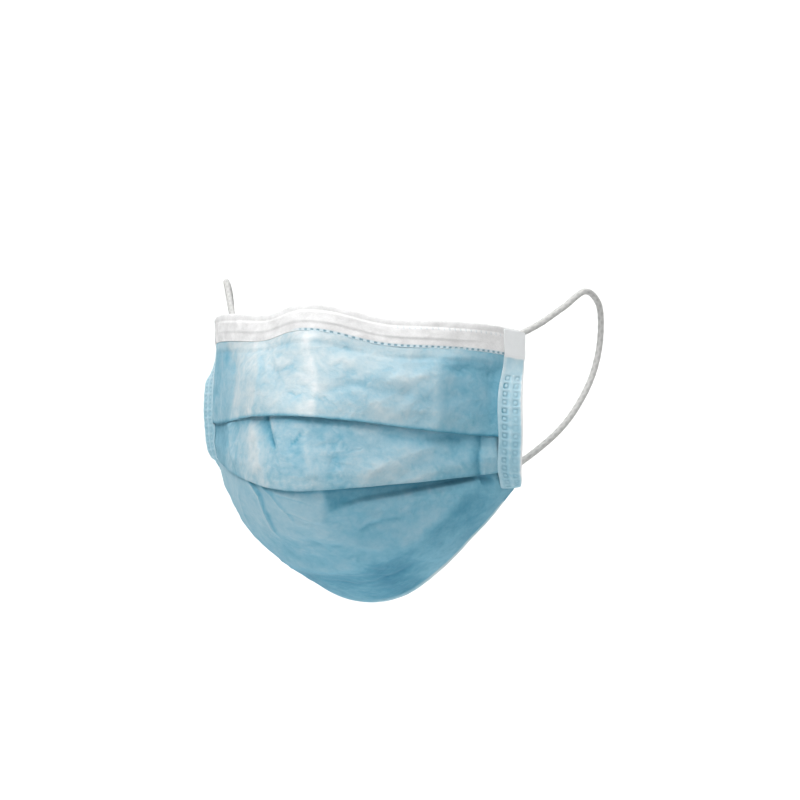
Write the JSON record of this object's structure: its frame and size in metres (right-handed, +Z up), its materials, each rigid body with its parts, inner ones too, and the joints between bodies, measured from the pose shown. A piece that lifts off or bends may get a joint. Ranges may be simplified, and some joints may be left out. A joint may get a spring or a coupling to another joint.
{
  "type": "surgical face mask",
  "caption": "Pleated disposable face mask in its worn shape, with a bound top edge, embossed side bindings and round elastic ear loops.",
  "frame": {"origin": "nose bridge, the middle of the mask's top edge", "axes": "-Y is the way the wearer faces, +X is the wearer's left, +Z is up"},
  "size_m": [0.1562, 0.1157, 0.1161],
  "materials": {
    "blue_cloth": "matte nonwoven, pale blue",
    "white_cloth": "matte nonwoven, white",
    "pale_cloth": "embossed thin nonwoven over blue",
    "elastic": "matte knitted elastic, white"
  },
  "bodies": {
    "root": {"mask_body": "blue_cloth", "top_binding": "white_cloth", "side_binding_left": "pale_cloth", "side_binding_right": "pale_cloth", "ear_loop_left": "elastic", "ear_loop_right": "elastic"}
  },
  "joints": []
}
